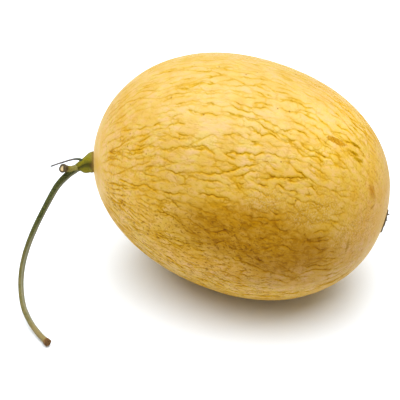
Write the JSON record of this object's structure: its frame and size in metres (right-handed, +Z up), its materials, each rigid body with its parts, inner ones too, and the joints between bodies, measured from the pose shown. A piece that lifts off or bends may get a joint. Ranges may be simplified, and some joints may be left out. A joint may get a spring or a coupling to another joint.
{
  "type": "yellow netted melon",
  "caption": "Whole oval netted melon with yellow rind, as picked, lying on its side with a long curved cut vine stem and a dry blossom scar.",
  "frame": {"origin": "on the surface the melon lies on, under the middle of its bounding box", "axes": "+X along the fruit from its stem end to its blossom end, +Z up, the vine comes forward to -Y"},
  "size_m": [0.2106, 0.1876, 0.1441],
  "materials": {
    "rind": "golden yellow melon rind with pale raised corky net and fine furrows, satin",
    "stem_green": "olive green drying vine, ridged, brown at its cuts, matt",
    "scar_brown": "dark dry blossom scar, matt"
  },
  "bodies": {
    "root": {"melon_fruit": "rind", "stem": "stem_green", "blossom_scar": "scar_brown"}
  },
  "joints": []
}
